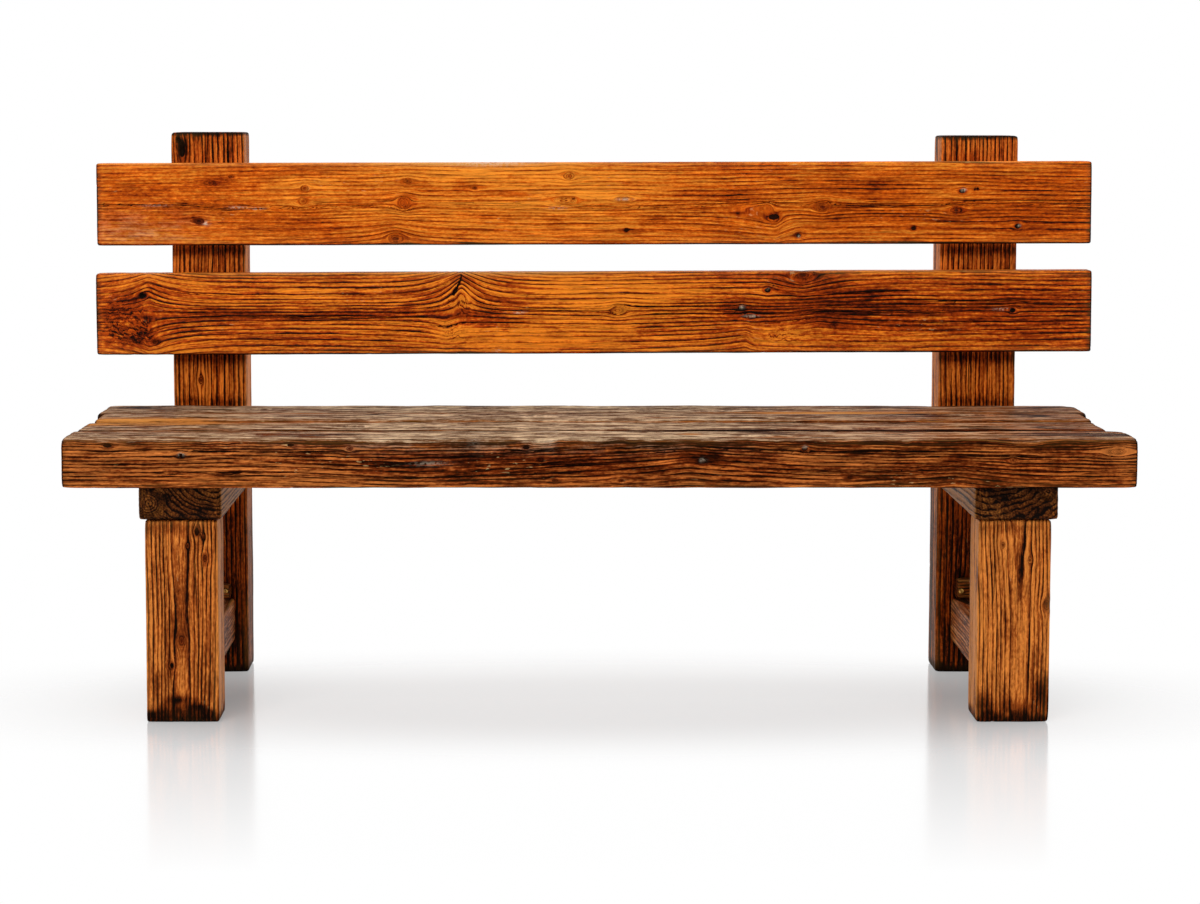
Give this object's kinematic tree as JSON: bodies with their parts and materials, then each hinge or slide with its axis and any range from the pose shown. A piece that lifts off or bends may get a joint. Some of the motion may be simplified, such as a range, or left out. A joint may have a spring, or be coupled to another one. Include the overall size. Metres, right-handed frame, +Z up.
{
  "type": "rustic plank bench",
  "caption": "Heavy rustic wooden bench with a thick plank seat, stout legs joined by side stretchers, and an open back of broad slats.",
  "frame": {"origin": "on the floor, under the middle of the bench's box", "axes": "+X along the bench to the right as seen from the front, +Y from front to back, +Z up"},
  "size_m": [1.6244, 0.505, 0.8961],
  "materials": {
    "upper_slat_wood": "honey varnish, satin gloss, fine straight grain with small knots",
    "lower_slat_wood": "amber varnish, satin gloss, bold dark grain lines and swirls",
    "seat_wood": "dark brown oiled wood with orange grain, worn grey-brown top",
    "leg_wood": "brown oiled wood, vertical grain, dark stained foot",
    "post_wood": "amber varnish, strong vertical stripes, weathered top",
    "bearer_wood": "dark end grain with curved rings, brown sides",
    "stretcher_wood": "brown oiled wood, paler inner face",
    "block_wood": "brown oiled wood",
    "peg_wood": "end grain, dry",
    "screw_steel": "zinc-plated steel",
    "screw_brass": "worn brass"
  },
  "bodies": {
    "root": {"seat_board_front": "seat_wood", "seat_board_second": "seat_wood", "seat_board_third": "seat_wood", "seat_board_rear": "seat_wood", "upper_back_slat": "upper_slat_wood", "lower_back_slat": "lower_slat_wood", "left_post": "post_wood", "left_front_leg": "leg_wood", "left_seat_bearer": "bearer_wood", "left_side_stretcher": "stretcher_wood", "left_corner_block": "block_wood", "right_post": "post_wood", "right_front_leg": "leg_wood", "right_seat_bearer": "bearer_wood", "right_side_stretcher": "stretcher_wood", "right_corner_block": "block_wood", "left_block_screw": "screw_brass", "left_peg_leg_to_bearer": "peg_wood", "left_peg_bearer_to_post": "peg_wood", "left_peg_stretcher_to_leg": "peg_wood", "left_peg_stretcher_to_post": "peg_wood", "coach_screw_left_upper_1": "screw_steel", "washer_left_upper_1": "screw_steel", "coach_screw_left_upper_2": "screw_steel", "washer_left_upper_2": "screw_steel", "coach_screw_left_lower_1": "screw_steel", "washer_left_lower_1": "screw_steel", "coach_screw_left_lower_2": "screw_steel", "washer_left_lower_2": "screw_steel", "seat_screw_left_front_1": "screw_steel", "seat_screw_left_front_2": "screw_steel", "seat_screw_left_second_1": "screw_steel", "seat_screw_left_second_2": "screw_steel", "seat_screw_left_third_1": "screw_steel", "seat_screw_left_third_2": "screw_steel", "seat_screw_left_rear_1": "screw_steel", "seat_screw_left_rear_2": "screw_steel", "right_block_screw": "screw_brass", "right_peg_leg_to_bearer": "peg_wood", "right_peg_bearer_to_post": "peg_wood", "right_peg_stretcher_to_leg": "peg_wood", "right_peg_stretcher_to_post": "peg_wood", "coach_screw_right_upper_1": "screw_steel", "washer_right_upper_1": "screw_steel", "coach_screw_right_upper_2": "screw_steel", "washer_right_upper_2": "screw_steel", "coach_screw_right_lower_1": "screw_steel", "washer_right_lower_1": "screw_steel", "coach_screw_right_lower_2": "screw_steel", "washer_right_lower_2": "screw_steel", "seat_screw_right_front_1": "screw_steel", "seat_screw_right_front_2": "screw_steel", "seat_screw_right_second_1": "screw_steel", "seat_screw_right_second_2": "screw_steel", "seat_screw_right_third_1": "screw_steel", "seat_screw_right_third_2": "screw_steel", "seat_screw_right_rear_1": "screw_steel", "seat_screw_right_rear_2": "screw_steel"}
  },
  "joints": []
}
